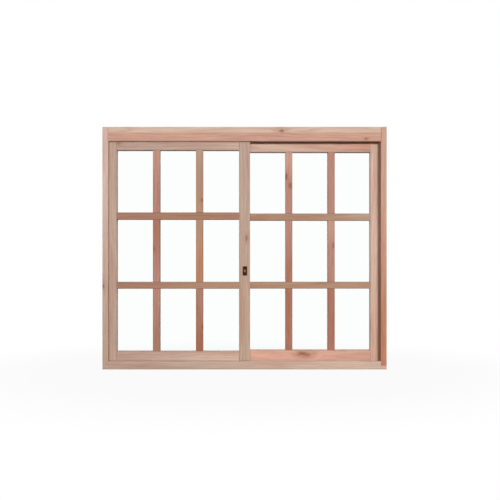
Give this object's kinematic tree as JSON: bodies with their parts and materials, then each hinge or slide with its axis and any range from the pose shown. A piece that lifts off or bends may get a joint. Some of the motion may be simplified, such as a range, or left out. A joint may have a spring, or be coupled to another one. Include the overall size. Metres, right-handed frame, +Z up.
{
  "type": "sliding window",
  "caption": "Unfinished timber sliding window: a ploughed frame with two overlapping sashes on sill tracks, each with a grid of small lights, and a bronze latch on the meeting stile.",
  "frame": {"origin": "centre of the sill's underside, at mid width and mid depth", "axes": "+X along the width to the right as seen from the room, +Y from the room face to the weather face, +Z up"},
  "size_m": [1.2, 0.13, 1.024],
  "materials": {
    "frame_pine": "planed, unfinished",
    "stop_pine": "planed, unfinished",
    "sash_pine": "planed, unfinished",
    "bar_pine": "planed, unfinished",
    "bead_pine": "planed, unfinished",
    "clear_glass": "clear float",
    "track_aluminium": "mill",
    "latch_bronze": "dark oil-rubbed"
  },
  "bodies": {
    "frame": {"left_jamb": "frame_pine", "right_jamb": "frame_pine", "head": "frame_pine", "sill": "frame_pine", "head_front_stop": "stop_pine", "head_parting_bead": "stop_pine", "head_rear_stop": "stop_pine", "front_track": "track_aluminium", "rear_track": "track_aluminium"},
    "front_sash": {"front_sash_outer_stile": "sash_pine", "front_sash_meeting_stile": "sash_pine", "front_sash_top_rail": "sash_pine", "front_sash_bottom_rail": "sash_pine", "front_sash_lower_cross_bar": "bar_pine", "front_sash_upper_cross_bar": "bar_pine", "front_sash_lower_outer_upright": "bar_pine", "front_sash_middle_outer_upright": "bar_pine", "front_sash_upper_outer_upright": "bar_pine", "front_sash_lower_inner_upright": "bar_pine", "front_sash_middle_inner_upright": "bar_pine", "front_sash_upper_inner_upright": "bar_pine", "front_sash_panes": "clear_glass", "front_sash_cross_beads": "bead_pine", "front_sash_upright_beads": "bead_pine", "latch_plate": "latch_bronze", "latch_turn": "latch_bronze"},
    "rear_sash": {"rear_sash_outer_stile": "sash_pine", "rear_sash_meeting_stile": "sash_pine", "rear_sash_top_rail": "sash_pine", "rear_sash_bottom_rail": "sash_pine", "rear_sash_lower_cross_bar": "bar_pine", "rear_sash_upper_cross_bar": "bar_pine", "rear_sash_lower_outer_upright": "bar_pine", "rear_sash_middle_outer_upright": "bar_pine", "rear_sash_upper_outer_upright": "bar_pine", "rear_sash_lower_inner_upright": "bar_pine", "rear_sash_middle_inner_upright": "bar_pine", "rear_sash_upper_inner_upright": "bar_pine", "rear_sash_panes": "clear_glass", "rear_sash_cross_beads": "bead_pine", "rear_sash_upright_beads": "bead_pine"}
  },
  "joints": [
    {"name": "front_sash_slide", "type": "slide", "parent": "frame", "child": "front_sash", "axis": [1, 0, 0], "range_m": [0, 0.5475]},
    {"name": "rear_sash_slide", "type": "slide", "parent": "frame", "child": "rear_sash", "axis": [-1, 0, 0], "range_m": [0, 0.5475]}
  ]
}
